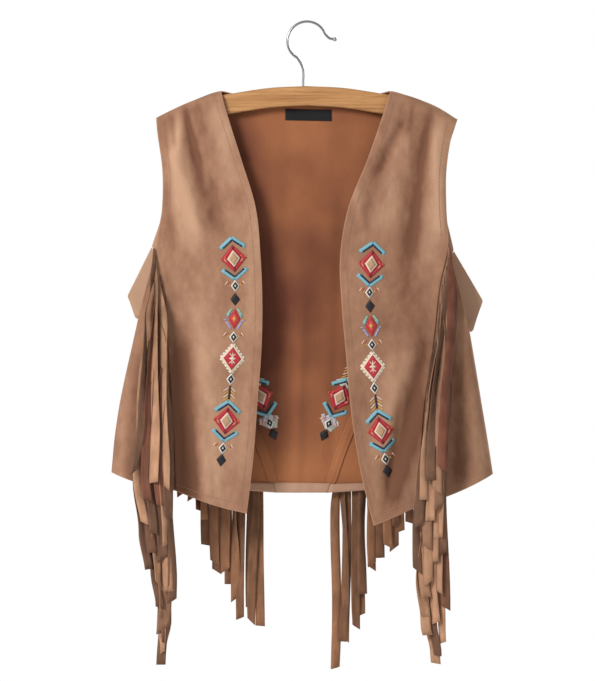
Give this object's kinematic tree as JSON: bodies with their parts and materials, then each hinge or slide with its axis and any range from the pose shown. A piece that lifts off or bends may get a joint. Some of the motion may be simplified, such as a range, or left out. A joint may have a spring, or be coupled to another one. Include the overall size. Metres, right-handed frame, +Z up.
{
  "type": "fringe vest on a hanger",
  "caption": "Open sleeveless vest of imitation suede with long cut fringe in its front and back seams, hung on a flat wooden hanger with a wire hook.",
  "frame": {"origin": "inner top of the hanger's hook, where a nail, peg or rail bears", "axes": "+Z up, +X to the right as seen from the front, +Y away from the viewer, towards the back of the vest"},
  "size_m": [0.4695, 0.0838, 0.7921],
  "materials": {
    "suede": "napped imitation suede",
    "suede_fringe": "cut strips of imitation suede",
    "label_tape": "woven satin tape",
    "hanger_wood": "clear varnish",
    "hook_wire": "plated wire"
  },
  "bodies": {
    "root": {"front_left": "suede", "front_right": "suede", "side_front_left": "suede", "side_front_right": "suede", "back_centre": "suede", "back_side_left": "suede", "back_side_right": "suede", "fringe_front_left": "suede_fringe", "fringe_front_right": "suede_fringe", "fringe_back_left": "suede_fringe", "fringe_back_right": "suede_fringe", "neck_label": "label_tape", "hanger_bar": "hanger_wood", "hanger_hook": "hook_wire"}
  },
  "joints": []
}
